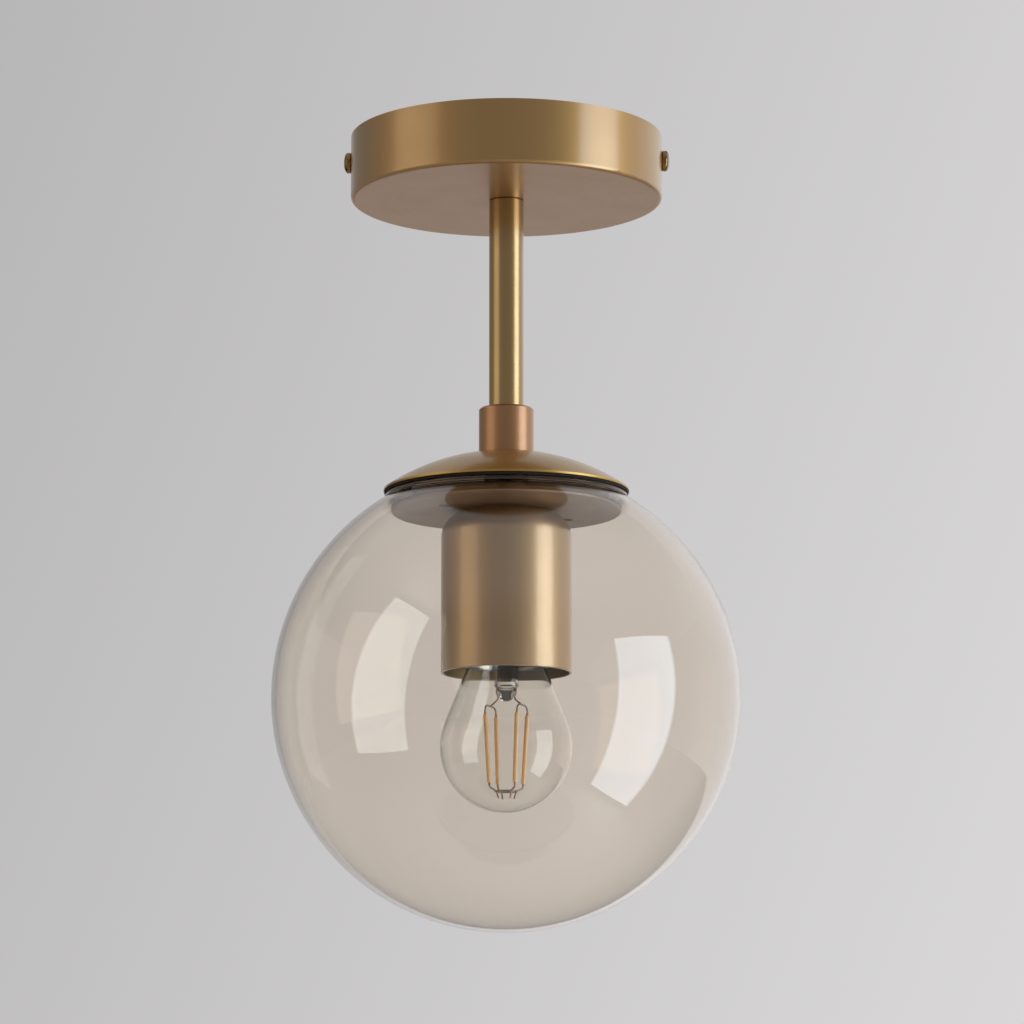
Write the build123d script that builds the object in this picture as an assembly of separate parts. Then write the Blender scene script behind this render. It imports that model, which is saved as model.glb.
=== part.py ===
"""Semi flush ceiling light: canopy, stem, dome cap, glass globe, lampholder cup and round filament bulb.

The frame is in millimetres, +Z up, with the origin on the ceiling plane at the middle of the ceiling bracket.
"""
from build123d import *
from math import atan2, cos, pi, radians, sin, sqrt, tan
import os

os.makedirs("parts", exist_ok=True)

# ---- clearances ------------------------------------------------------------
thread_gap = 0.05        # radial, between two threaded pieces drawn without their threads
hole_gap = 0.2           # radial, a plain hole round what passes through it
rest_gap = 0.3           # between pieces on different bodies that touch on the real light
pan_gap = 0.35           # radial, gallery pan inside the glass neck

# ---- ceiling side ----------------------------------------------------------
canopy_radius = 53.8
canopy_height = 22.0
canopy_wall = 1.2
canopy_edge_radius = 1.4

strap_width = 18.0
strap_thickness = 1.5
strap_bend_radius = 1.5  # inside of the bends
ear_height = 14.0
ear_gap = 0.4            # corner of an ear to the canopy wall
slot_spacing = 60.0
slot_width = 5.2
slot_length = 15.0
cable_hole_radius = 6.0

side_screw_drop = 8.1    # below the ceiling
side_screw_length = 7.0
m4_radius = 2.0
screw_head_radius = 3.6
side_head_height = 2.5
side_head_round = 0.7
side_slot_turn = 35.0    # how far the side screws' slots stand off upright
thread_lead_in = 0.5     # bevel on the end of an M4 screw
driver_slot_width = 1.0
driver_slot_depth = 1.1
earth_screw_offset = -14.0
earth_head_height = 2.4

# ---- stem and hollow threaded nipples ---------------------------------------
stem_radius = 6.0
stem_bore_radius = 4.5
stem_visible_length = 73.0
stem_edge_chamfer = 0.3
nipple_radius = 5.0
nipple_bore_radius = 3.5
nipple_engagement = 10.0  # length of nipple inside each end of the stem
nipple_chamfer = 0.5
upper_nipple_proud = 1.5  # beyond the canopy nut
lower_nipple_tail = 6.6   # into the lampholder's cap

washer_radius = 9.0
washer_thickness = 1.0
nut_across_flats = 14.0
nut_height = 3.0
nut_chamfer = 0.6

bush_flange = 1.2
bush_spigot = 5.0
bush_bore_radius = 2.75
bush_edge_round = 0.5

# ---- collar, dome cap, gasket, spacer ----------------------------------------
coupler_radius = 9.45
coupler_height = 16.0
coupler_top_chamfer = 0.6
coupler_foot_chamfer = 0.25
stem_seat_depth = 3.0    # how far the stem stands in the collar

dome_sphere_radius = 74.0
dome_overhang = 0.5      # rim of the dome beyond the glass neck
dome_wall = 1.0
dome_seat_radius = 10.0  # small flat under the collar
dome_lip = 0.7           # upright edge at the rim

gasket_thickness = 0.8
gasket_overhang = 0.3    # rim edge to gasket edge
spacer_radius = 7.5

# ---- glass globe -------------------------------------------------------------
globe_radius = 79.5
glass_wall = 1.5
neck_radius = 41.4
neck_height = 1.35       # straight part above the ball
neck_root_radius = 1.2
neck_lip_round = 0.6

# ---- gallery pan and its spring clips ------------------------------------------
pan_sheet = 0.8
pan_drop = 7.0           # rim of the dome cap to the underside of the pan
pan_rim_height = 1.8
pan_corner_radius = 1.0
vent_radius = 2.4
vent_offset = 24.6
vent_angle = 35.0

clip_count = 3
clip_first_angle = 95.0
clip_width = 8.0
clip_sheet = 0.4
clip_foot_length = 8.0
clip_reach = 1.7         # nose of the spring beyond the neck's inside
clip_elbow_gap = 1.28    # inside of the pan's rim to the elbow of the spring
clip_tip_rise = 3.4      # pan's floor to the tip of the spring
clip_slot_gap = 0.5
clip_bend_radius = 0.8

# ---- lampholder cup and lampholder -----------------------------------------------
cup_radius = 22.25
cup_wall = 0.9
cup_height = 55.3
cup_shoulder_radius = 8.5
cup_lip_round = 0.25

holder_radius = 19.4
holder_wall = 1.9
holder_boss_radius = 8.5
holder_boss_height = 3.1
holder_cap_height = 17.0
holder_cone_height = 8.4
holder_length = 44.1
holder_thread_length = 7.6
spigot_length = 3.9
spigot_gap = 0.2

carrier_drop = 14.1      # holder top to the contact carrier's top
carrier_thickness = 4.5
carrier_radius = 15.6
carrier_gap = 0.2

shell_bore_radius = 13.4
shell_sheet = 0.5
shell_length = 19.2
shell_drop = 5.3         # carrier to the top of the screw shell
shell_opening_radius = 10.5
shell_tab_width = 5.0

contact_width = 4.0
contact_sheet = 0.4
contact_drop = 3.0       # carrier to the bulb's tip
contact_bend_radius = 1.0
holder_mouth_rounds = (1.0, 0.6)  # outer and inner edge of the mouth
terminal_offset = 10.0
terminal_size = (6.0, 5.0, 4.8)
terminal_screw_radius = 1.25
terminal_screw_length = 2.0
terminal_screw_slot = (0.5, 0.5)  # width and depth
rivet_radius = 1.2
rivet_head_radius = 1.9
rivet_head_height = 0.5

# ---- inner wires and connector block ------------------------------------------------
wire_radius = 1.0
wire_offset = 1.5        # each wire from the stem's axis
wire_insertion = 3.0     # length of wire inside a terminal
block_pitch = 8.5
block_depth = 16.0
block_height = 7.2
block_offset = 30.0      # block's middle from the stem's axis
block_web = (22.0, 7.0, 4.0)
tower_radius = 2.9
tower_height = 11.6
tower_spacing = 8.6
tube_radius = 2.2
tube_bore_radius = 1.3
tube_length = 13.0
block_screw_radius = 1.4
block_screw_drop = 1.5   # top of a tower to its screw
block_screw_slot = (0.6, 0.6)  # width and depth
arch_top = 4.0           # wires' highest point below the ceiling
arch_reach = 11.0        # where the wires rise, from the stem's axis
ring_terminal_radius = 8.4
ring_terminal_sheet = 0.8
crimp_radius = 1.9
crimp_length = 6.0
crimp_start = 10.6
earth_loop = ((7.5, 0.0), (12.4, 5.5), (9.4, 11.5))  # turns of the earth wire, from the end of its crimp
earth_rise = 10.5        # where it turns up to its pole, from the stem's axis

# ---- bulb: round filament bulb with a 27 mm screw cap ----------------------------------
bulb_radius = 22.5
bulb_length = 76.3
bulb_glass = 0.7
bulb_neck_radius = 13.3
bulb_tube_radius = 12.2   # glass inside the cap
bulb_tube_length = 5.5
cap_radius = 13.1
cap_sheet = 0.35
cap_length = 26.5
cap_skirt_radius = 13.9
cap_skirt_height = 1.4
cap_flare_height = 1.4
cap_crown_radius = 10.8
cap_crown_drop = 3.6
cap_shoulder_drop = 6.2
cap_contact_radius = 4.7
cap_contact_height = 1.2
insulator_top_radius = 5.6
insulator_depth = 2.2

flare_wall = 0.8
flare_height = 5.0
mount_radius = 4.05
mount_length = 9.0       # from the flare's rim to the foot of the collar
press_radius = 3.05
press_length = 6.8
press_round = 1.6
lead_radius = 0.3
lead_spread_drop = 4.0   # straight part of a lead beside the press

filament_count = 4
filament_first_angle = 28.0
filament_radius = 0.75
filament_top_circle = 8.0
filament_foot_circle = 6.3
filament_top_gap = 5.0    # foot of the press to the filaments' top
filament_foot_gap = 8.4   # filaments' foot to the inside of the glass
lead_fork_rise = 2.0      # filaments' top to the fork of a lead
ring_circle = 3.7
ring_drop = 1.6
ring_tail = 2.4

driver_size = (14.0, 1.0, 12.0)
driver_gap = 3.0         # crown of the cap to the board
capacitor_radius = 2.6
capacitor_length = 6.0
capacitor_bite = 0.2     # how far the capacitor's side runs into the board

thread_pitch = 3.629     # 27 mm lamp cap, seven threads to the inch

# ---- places that follow from the sizes ---------------------------------------------------
join_limit = 1e-6        # squared lengths below this are a point on the axis

canopy_face = -canopy_height
canopy_floor = canopy_face + canopy_wall
canopy_bore = canopy_radius - canopy_wall
ear_face = sqrt((canopy_bore - ear_gap) ** 2 - (strap_width / 2) ** 2)

washer_top = canopy_floor + washer_thickness
ring_top = washer_top + ring_terminal_sheet
nut_top = ring_top + nut_height
upper_nipple_top = nut_top + upper_nipple_proud

coupler_top = canopy_face - stem_visible_length
coupler_foot = coupler_top - coupler_height
stem_foot = coupler_top - stem_seat_depth

dome_rim_radius = neck_radius + dome_overhang
dome_centre = coupler_foot - sqrt(dome_sphere_radius ** 2 - dome_seat_radius ** 2)
dome_edge = dome_centre + sqrt(dome_sphere_radius ** 2 - dome_rim_radius ** 2)
dome_rim = dome_edge - dome_lip

gasket_foot = dome_rim - gasket_thickness
neck_top = gasket_foot - rest_gap
neck_bore = neck_radius - glass_wall
globe_centre = neck_top - neck_height - sqrt(globe_radius ** 2 - neck_radius ** 2)
globe_bore = globe_radius - glass_wall

pan_face = dome_rim - pan_drop
pan_floor = pan_face + pan_sheet
pan_radius = neck_bore - pan_gap

cup_top = pan_face
cup_ceiling = cup_top - cup_wall
cup_foot = cup_top - cup_height
cup_bore = cup_radius - cup_wall
cup_nut_top = cup_ceiling - washer_thickness
holder_top = cup_nut_top - nut_height
lower_nipple_foot = holder_top - lower_nipple_tail

holder_skirt_foot = holder_top - holder_cap_height
holder_foot = holder_top - holder_length
spigot_radius = holder_radius - holder_wall - spigot_gap
carrier_top = holder_top - carrier_drop
carrier_foot = carrier_top - carrier_thickness
shell_top = carrier_foot - shell_drop
shell_radius = shell_bore_radius + shell_sheet
holder_bore = shell_radius + rest_gap

bulb_tip = carrier_foot - contact_drop
cap_rim = bulb_tip - cap_length
bulb_foot = bulb_tip - bulb_length
bulb_centre = bulb_foot + bulb_radius
cap_bore = cap_radius - cap_sheet
flare_top = cap_rim + bulb_tube_length
mount_foot = flare_top - mount_length
press_foot = mount_foot - press_length
filament_top = press_foot - filament_top_gap
filament_foot = bulb_foot + bulb_glass + filament_foot_gap
ring_height = filament_foot - ring_drop

block_foot = canopy_floor
wire_entry = block_foot + block_height / 2
terminal_wire_height = carrier_top + terminal_size[2] / 2


# ---- shared forms --------------------------------------------------------------------------
def turned(*corners):
    """Solid turned about Z. A corner is (radius, height), or (radius, height, rounding)."""
    section = make_face(Polyline(*[(corner[0], corner[1]) for corner in corners], close=True))
    for corner in corners:
        if len(corner) == 3:
            point = (corner[0], corner[1], 0)
            section = fillet(section.vertices().sort_by_distance(point)[0], corner[2])
    return revolve(Plane.XZ * section, Axis.Z)


def tube(outer, inner, top, foot):
    """Plain ring or tube about Z."""
    return turned((inner, foot), (outer, foot), (outer, top), (inner, top))


def ball_point(centre, radius, height):
    """Point of a ball's outline at a height, exactly on the axis at a pole."""
    squared = radius ** 2 - (height - centre) ** 2
    return (sqrt(squared) if squared > join_limit else 0.0, height)


def ball_arc(centre, radius, start, end):
    """Arc of a ball's outline between two heights."""
    middle = (atan2(start - centre, ball_point(centre, radius, start)[0])
              + atan2(end - centre, ball_point(centre, radius, end)[0])) / 2
    halfway = (radius * cos(middle), centre + radius * sin(middle))
    return ThreePointArc(ball_point(centre, radius, start), halfway, ball_point(centre, radius, end))


def rod(start, end, radius):
    """Round bar between two points."""
    start, end = Vector(start), Vector(end)
    base = Plane(origin=start, z_dir=end - start)
    return extrude(base * Circle(radius), (end - start).length)


def hex_nut(top):
    """Thin hexagon nut for the hollow nipples, chamfered on both faces."""
    blank = extrude(RegularPolygon(nut_across_flats / sqrt(3), 6), nut_height)
    corner = nut_across_flats / sqrt(3)
    dressing = turned((0, 0), (corner - nut_chamfer, 0), (corner, nut_chamfer),
                      (corner, nut_height - nut_chamfer), (corner - nut_chamfer, nut_height),
                      (0, nut_height))
    bore = Pos(0, 0, nut_height / 2) * Cylinder(nipple_radius + thread_gap, 2 * nut_height)
    return Pos(0, 0, top - nut_height) * ((blank & dressing) - bore)


def hollow_nipple(top, foot):
    """Hollow threaded nipple, drawn plain, with chamfered ends."""
    return turned((nipple_bore_radius, foot), (nipple_radius - nipple_chamfer, foot),
                  (nipple_radius, foot + nipple_chamfer), (nipple_radius, top - nipple_chamfer),
                  (nipple_radius - nipple_chamfer, top), (nipple_bore_radius, top))


def bent_strip(width, sheet, radius, *points):
    """Sheet strip of constant width along a bent path in the XZ plane."""
    path = FilletPolyline(*[(x, 0, z) for x, z in points], radius=radius)
    start = Plane(origin=path @ 0, x_dir=(0, 1, 0), z_dir=path % 0)
    return sweep(start * Rectangle(width, sheet), path)


def wire(name, points):
    """Round wire on straight runs joined by the largest tangent arcs that its runs allow."""
    points = [Vector(*point) for point in points]
    radii = []
    for before, corner, after in zip(points, points[1:], points[2:]):
        turn = radians((corner - before).get_angle(after - corner))
        shorter = min((corner - before).length, (after - corner).length)
        radii.append(min(0.45 * shorter / tan(turn / 2), 8 * wire_radius))
    path = FilletPolyline(*points, radius=radii)
    start = Plane(origin=path @ 0, z_dir=path % 0)
    solid = sweep(start * Circle(wire_radius), path)
    section = pi * wire_radius ** 2
    print(name, "arc radii", [round(radius, 1) for radius in radii],
          "length", round(path.length, 1), "volume over section", round(solid.volume / section, 1))
    return solid


# ---- ceiling bracket and its screws ----------------------------------------------------------
def ceiling_bracket():
    """Flat strap with slotted ceiling holes, its two ends bent down into tapped ears."""
    blank = Pos(0, 0, -ear_height / 2) * Box(2 * ear_face, strap_width, ear_height)
    outside = blank.edges().filter_by(Axis.Y).group_by(Axis.Z)[-1]
    blank = fillet(outside, strap_bend_radius + strap_thickness)
    inner_length = 2 * (ear_face - strap_thickness)
    hollow = Pos(0, 0, -strap_thickness - ear_height / 2) * Box(inner_length, strap_width, ear_height)
    hollow = fillet(hollow.edges().filter_by(Axis.Y).group_by(Axis.Z)[-1], strap_bend_radius)
    body = blank - hollow

    slot = extrude(SlotOverall(slot_length, slot_width), 2 * strap_thickness, both=True)
    slots = [Pos(side * slot_spacing / 2, 0, 0) * slot for side in (-1, 1)]
    cable_hole = Cylinder(cable_hole_radius, 4 * strap_thickness)
    earth_hole = Pos(earth_screw_offset, 0, 0) * Cylinder(m4_radius + thread_gap, 4 * strap_thickness)
    tapped = Pos(0, 0, -side_screw_drop) * Rot(0, 90, 0) * Cylinder(
        m4_radius + thread_gap, 2 * ear_face + strap_thickness)
    return body - slots - cable_hole - earth_hole - tapped


def slotted_screw(head_height, shank_length, rounding):
    """Slotted M4 screw, head up from the origin and shank below it."""
    head = turned((0, 0), (screw_head_radius, 0), (screw_head_radius, head_height, rounding),
                  (0, head_height))
    slot = Pos(0, 0, head_height) * Box(
        3 * screw_head_radius, driver_slot_width, 2 * driver_slot_depth)
    shank = turned((0, 0), (m4_radius, 0), (m4_radius, thread_lead_in - shank_length),
                   (m4_radius - thread_lead_in, -shank_length), (0, -shank_length))
    return head - slot + shank


def side_screws():
    """The two screws through the canopy's wall into the bracket's ears."""
    screw = Pos(canopy_radius, 0, 0) * Rot(0, 90, 0) * Rot(0, 0, side_slot_turn) * slotted_screw(
        side_head_height, side_screw_length, side_head_round)
    return [Pos(0, 0, -side_screw_drop) * Rot(0, 0, angle) * screw for angle in (0, 180)]


def bracket_earth_screw():
    """Earth screw in the strap, its head under the strap and its end flush with the top."""
    screw = slotted_screw(earth_head_height, strap_thickness - thread_gap, side_head_round)
    return Pos(earth_screw_offset, 0, -strap_thickness) * Rot(180, 0, 0) * screw


# ---- canopy, stem and what joins them -----------------------------------------------------------
def canopy():
    """Shallow spun cup with a flat face, a hole for the nipple and two screw holes."""
    cup = turned((nipple_radius + hole_gap, canopy_face),
                 (canopy_radius, canopy_face, canopy_edge_radius), (canopy_radius, 0),
                 (canopy_bore, 0), (canopy_bore, canopy_floor, canopy_edge_radius / 2),
                 (nipple_radius + hole_gap, canopy_floor))
    holes = Pos(0, 0, -side_screw_drop) * Rot(0, 90, 0) * Cylinder(
        m4_radius + hole_gap, 2 * canopy_radius + canopy_wall)
    return cup - holes


def stem():
    """Straight tube, bored out at both ends for the nipples."""
    socket = nipple_radius + thread_gap
    upper_end = canopy_face - nipple_engagement - rest_gap
    lower_end = stem_foot + nipple_engagement + rest_gap
    return turned((socket, stem_foot), (stem_radius - stem_edge_chamfer, stem_foot),
                  (stem_radius, stem_foot + stem_edge_chamfer),
                  (stem_radius, canopy_face - stem_edge_chamfer),
                  (stem_radius - stem_edge_chamfer, canopy_face), (socket, canopy_face),
                  (socket, upper_end), (stem_bore_radius, upper_end),
                  (stem_bore_radius, lower_end), (socket, lower_end))


def nipple_bush():
    """Plastic bush in the upper nipple's mouth that keeps its edge off the wires."""
    spigot = nipple_bore_radius - thread_gap
    foot = upper_nipple_top - bush_spigot
    return turned((bush_bore_radius, foot), (spigot, foot), (spigot, upper_nipple_top),
                  (nipple_radius, upper_nipple_top),
                  (nipple_radius, upper_nipple_top + bush_flange, bush_edge_round),
                  (bush_bore_radius, upper_nipple_top + bush_flange, bush_edge_round))


def earth_ring_terminal():
    """Ring under the canopy nut, with a crimped barrel for the earth wire."""
    ring = tube(ring_terminal_radius, nipple_radius + hole_gap, ring_top, washer_top)
    tongue_length = crimp_start - nipple_radius - 1
    tongue = Pos(nipple_radius + 1 + tongue_length / 2, 0, washer_top + ring_terminal_sheet / 2) * Box(
        tongue_length + crimp_radius, 2 * crimp_radius, ring_terminal_sheet)
    barrel = Pos(crimp_start, 0, washer_top + crimp_radius) * Rot(0, 90, 0) * extrude(
        Circle(crimp_radius) - Circle(wire_radius + thread_gap), crimp_length)
    return ring + tongue + barrel


# ---- collar, dome cap, gasket and spacer ------------------------------------------------------------
def coupler():
    """Turned collar that takes the stem's end above and the lower nipple below."""
    seat = stem_radius + thread_gap
    bore = nipple_radius + thread_gap
    return turned((bore, coupler_foot), (coupler_radius - coupler_foot_chamfer, coupler_foot),
                  (coupler_radius, coupler_foot + coupler_foot_chamfer),
                  (coupler_radius, coupler_top - coupler_top_chamfer),
                  (coupler_radius - coupler_top_chamfer, coupler_top), (seat, coupler_top),
                  (seat, stem_foot), (bore, stem_foot))


def dome_cap():
    """Shallow spun dome with a small flat for the collar and an upright lip at its rim."""
    bore = nipple_radius + hole_gap
    inner_radius = dome_sphere_radius - dome_wall
    inner_rim = dome_rim_radius - dome_wall
    inner_flat = coupler_foot - dome_wall
    inner_edge = dome_centre + sqrt(inner_radius ** 2 - inner_rim ** 2)
    flat_end = ball_point(dome_centre, inner_radius, inner_flat)
    section = make_face([
        Line((bore, coupler_foot), (dome_seat_radius, coupler_foot)),
        ball_arc(dome_centre, dome_sphere_radius, coupler_foot, dome_edge),
        Polyline((dome_rim_radius, dome_edge), (dome_rim_radius, dome_rim), (inner_rim, dome_rim),
                 (inner_rim, inner_edge)),
        ball_arc(dome_centre, inner_radius, inner_edge, inner_flat),
        Polyline(flat_end, (bore, inner_flat), (bore, coupler_foot)),
    ])
    return revolve(Plane.XZ * section, Axis.Z)


def neck_gasket():
    """Flat rubber ring under the dome cap's rim, where the glass neck lands."""
    return tube(dome_rim_radius - gasket_overhang, neck_bore + gasket_overhang, dome_rim, gasket_foot)


# ---- glass globe ----------------------------------------------------------------------------------------
def glass_globe():
    """Blown ball with a short straight neck and a fire-polished lip."""
    outer_root = globe_centre + sqrt(globe_radius ** 2 - neck_radius ** 2)
    inner_root = globe_centre + sqrt(globe_bore ** 2 - neck_bore ** 2)
    section = make_face([
        Line((neck_bore, neck_top), (neck_radius, neck_top)),
        Line((neck_radius, neck_top), (neck_radius, outer_root)),
        ball_arc(globe_centre, globe_radius, outer_root, globe_centre - globe_radius),
        Line((0, globe_centre - globe_radius), (0, globe_centre - globe_bore)),
        ball_arc(globe_centre, globe_bore, globe_centre - globe_bore, inner_root),
        Line((neck_bore, inner_root), (neck_bore, neck_top)),
    ])
    for corner, rounding in (((neck_radius, neck_top), neck_lip_round),
                             ((neck_bore, neck_top), neck_lip_round),
                             ((neck_radius, outer_root), neck_root_radius)):
        section = fillet(section.vertices().sort_by_distance((*corner, 0))[0], rounding)
    return revolve(Plane.XZ * section, Axis.Z)


# ---- gallery pan and spring clips -----------------------------------------------------------------------------
def gallery_pan():
    """Pressed pan that plugs the neck, with vent holes and an open slot in its rim for each clip."""
    rim_bore = pan_radius - pan_sheet
    bore = nipple_radius + hole_gap
    pan = turned((bore, pan_face), (pan_radius, pan_face, pan_corner_radius),
                 (pan_radius, pan_face + pan_rim_height), (rim_bore, pan_face + pan_rim_height),
                 (rim_bore, pan_floor, pan_corner_radius - pan_sheet), (bore, pan_floor))
    vents = [Rot(0, 0, vent_angle + turn) * Pos(vent_offset, 0, pan_face) * Cylinder(
        vent_radius, 4 * pan_sheet) for turn in (0, 180)]
    slots = [Rot(0, 0, clip_first_angle + index * 360 / clip_count) * Pos(
        pan_radius, 0, pan_floor + pan_rim_height / 2) * Box(
        4 * pan_sheet, clip_width + 2 * clip_slot_gap, pan_rim_height) for index in range(clip_count)]
    return pan - vents - slots


def spring_clip(index):
    """Leaf spring on the pan's floor that noses out through the rim under the globe's shoulder."""
    middle = pan_floor + clip_sheet / 2
    elbow = pan_radius - pan_sheet - clip_elbow_gap
    nose = neck_bore + clip_reach
    nose_height = globe_centre + sqrt((globe_bore - rest_gap - clip_sheet) ** 2 - nose ** 2)
    tip = pan_radius - 2 * pan_sheet
    tip_height = pan_floor + clip_tip_rise
    strip = bent_strip(clip_width, clip_sheet, clip_bend_radius, (elbow - clip_foot_length, middle),
                       (elbow, middle), (nose, nose_height), (tip, tip_height))
    return Rot(0, 0, clip_first_angle + index * 360 / clip_count) * strip


# ---- lampholder cup and lampholder ----------------------------------------------------------------------------
def lampholder_cup():
    """Deep drawn cup with a rounded shoulder, open below."""
    bore = nipple_radius + hole_gap
    return turned((bore, cup_top), (cup_radius, cup_top, cup_shoulder_radius),
                  (cup_radius, cup_foot, cup_lip_round), (cup_bore, cup_foot, cup_lip_round),
                  (cup_bore, cup_ceiling, cup_shoulder_radius - cup_wall), (bore, cup_ceiling))


def holder_cap():
    """Upper half of the lampholder: a boss on the nipple, a cone and a skirt."""
    cone_top = holder_top - holder_boss_height
    cone_foot = cone_top - holder_cone_height
    bore = nipple_radius + thread_gap
    inner = holder_radius - holder_wall
    inside_top = cone_top - holder_wall
    inside_foot = cone_foot - holder_wall / 3
    thread_foot = holder_top - holder_thread_length
    return turned((bore, holder_top), (holder_boss_radius, holder_top), (holder_boss_radius, cone_top),
                  (holder_radius, cone_foot, holder_wall), (holder_radius, holder_skirt_foot),
                  (inner, holder_skirt_foot), (inner, inside_foot), (holder_boss_radius, inside_top),
                  (holder_boss_radius, thread_foot), (bore, thread_foot))


def holder_body():
    """Lower half: a spigot inside the cap, a ledge for the carrier and the bore for the screw shell."""
    spigot_top = holder_skirt_foot + spigot_length
    carrier_bore = carrier_radius + carrier_gap
    return turned((carrier_bore, spigot_top), (spigot_radius, spigot_top),
                  (spigot_radius, holder_skirt_foot), (holder_radius, holder_skirt_foot),
                  (holder_radius, holder_foot, holder_mouth_rounds[0]),
                  (holder_bore, holder_foot, holder_mouth_rounds[1]),
                  (holder_bore, carrier_foot), (carrier_bore, carrier_foot))


def contact_carrier():
    """Ceramic disc that holds both terminals above and both contacts below."""
    disc = tube(carrier_radius, 0, carrier_top, carrier_foot)
    for side in (-1, 1):
        disc -= Pos(side * terminal_offset, 0, carrier_top) * Cylinder(
            rivet_radius + thread_gap, 4 * carrier_thickness)
    return disc


def screw_shell():
    """Shell that takes the bulb's cap, with an in-turned top and a tab riveted to the carrier."""
    foot = shell_top - shell_length
    shell = turned((shell_bore_radius, foot), (shell_radius, foot), (shell_radius, shell_top),
                   (shell_opening_radius, shell_top), (shell_opening_radius, shell_top - shell_sheet),
                   (shell_bore_radius, shell_top - shell_sheet))
    riser = Pos(shell_sheet / 2 - shell_bore_radius, 0, (shell_top + carrier_foot) / 2) * Box(
        shell_sheet, shell_tab_width, shell_drop)
    flange_end = rivet_head_radius - terminal_offset
    flange = Pos((flange_end - shell_bore_radius) / 2, 0, carrier_foot - shell_sheet / 2) * Box(
        flange_end + shell_bore_radius, shell_tab_width, shell_sheet)
    hole = Pos(-terminal_offset, 0, carrier_foot) * Cylinder(rivet_radius + thread_gap, 4 * shell_sheet)
    return shell + riser + flange - hole


def centre_contact():
    """Spring strip that presses on the bulb's end contact."""
    middle = carrier_foot - contact_sheet / 2
    low = bulb_tip + rest_gap + contact_sheet / 2
    strip = bent_strip(contact_width, contact_sheet, contact_bend_radius,
                       (terminal_offset + rivet_head_radius, middle), (terminal_offset / 2, middle),
                       (contact_width / 4, low), (-contact_width / 2, low))
    return strip - Pos(terminal_offset, 0, carrier_foot) * Cylinder(
        rivet_radius + thread_gap, 4 * contact_sheet)


def holder_terminals():
    """Two brass blocks with a wire hole from the middle and a screw hole from above."""
    blocks = []
    for side in (-1, 1):
        block = Pos(side * terminal_offset, 0, terminal_wire_height) * Box(*terminal_size)
        block -= Pos(side * (terminal_offset - terminal_size[0] / 2), 0, terminal_wire_height) * Rot(
            0, 90, 0) * Cylinder(wire_radius + thread_gap, 2 * (wire_insertion + rest_gap))
        block -= Pos(side * (terminal_offset - wire_insertion / 2), 0, terminal_wire_height) * Cylinder(
            terminal_screw_radius + thread_gap, terminal_size[2], align=(Align.CENTER, Align.CENTER, Align.MIN))
        blocks.append(block)
    return blocks


def holder_terminal_screws():
    """Headless slotted screws that clamp the wires in the terminals."""
    foot = terminal_wire_height + wire_radius
    screw = Cylinder(terminal_screw_radius, terminal_screw_length,
                     align=(Align.CENTER, Align.CENTER, Align.MIN))
    screw -= Pos(0, 0, terminal_screw_length) * Box(
        4 * terminal_screw_radius, terminal_screw_slot[0], 2 * terminal_screw_slot[1])
    return [Pos(side * (terminal_offset - wire_insertion / 2), 0, foot) * screw for side in (-1, 1)]


def contact_rivets():
    """Hollow-ended rivets that join each terminal to its contact through the carrier."""
    rivets = []
    for side, sheet in ((-1, shell_sheet), (1, contact_sheet)):
        head_top = carrier_foot - sheet
        shank = tube(rivet_radius, 0, carrier_top, head_top)
        head = turned((0, head_top), (rivet_head_radius, head_top),
                      (rivet_head_radius, head_top - rivet_head_height, rivet_head_height / 2),
                      (0, head_top - rivet_head_height))
        rivets.append(Pos(side * terminal_offset, 0, 0) * (shank + head))
    return rivets


# ---- connector block and inner wires ----------------------------------------------------------------------------
def pole_places():
    """Middle of each pole of the connector block."""
    return [(pole * block_pitch, block_offset) for pole in (-1, 0, 1)]


def terminal_block():
    """Three-way connector: a rounded barrel for each pole, two screw towers on it, and a web."""
    block = Pos(0, block_offset, block_foot + block_web[2] / 2) * Box(*block_web)
    for x, y in pole_places():
        pole = Pos(x, y, block_foot + block_height / 2) * Box(block_height, block_depth, block_height)
        pole = fillet(pole.edges().filter_by(Axis.Y).group_by(Axis.Z)[-1], block_height / 3)
        towers = [Pos(x, y + side * tower_spacing / 2, block_foot) * Cylinder(
            tower_radius, tower_height, align=(Align.CENTER, Align.CENTER, Align.MIN)) for side in (-1, 1)]
        block += [pole, *towers]
    for x, y in pole_places():
        block -= Pos(x, y, wire_entry) * Rot(90, 0, 0) * Cylinder(tube_radius + thread_gap, 2 * block_depth)
        for side in (-1, 1):
            block -= Pos(x, y + side * tower_spacing / 2, wire_entry) * Cylinder(
                block_screw_radius + hole_gap, tower_height, align=(Align.CENTER, Align.CENTER, Align.MIN))
    return block


def terminal_tubes():
    """Brass tube of each pole, with its two tapped screw holes."""
    tubes = []
    for x, y in pole_places():
        piece = Pos(x, y, wire_entry) * Rot(90, 0, 0) * (
            Cylinder(tube_radius, tube_length) - Cylinder(tube_bore_radius, 2 * tube_length))
        for side in (-1, 1):
            piece -= Pos(x, y + side * tower_spacing / 2, wire_entry) * Cylinder(
                block_screw_radius + thread_gap, tube_radius * 2, align=(Align.CENTER, Align.CENTER, Align.MIN))
        tubes.append(piece)
    return tubes


def terminal_screws():
    """Slotted screws of the connector block, down to the wires."""
    foot = wire_entry + wire_radius
    length = block_foot + tower_height - block_screw_drop - foot
    screw = Cylinder(block_screw_radius, length, align=(Align.CENTER, Align.CENTER, Align.MIN))
    screw -= Pos(0, 0, length) * Box(4 * block_screw_radius, block_screw_slot[0], 2 * block_screw_slot[1])
    return [Pos(x, y + side * tower_spacing / 2, foot) * screw
            for x, y in pole_places() for side in (-1, 1)]


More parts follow.
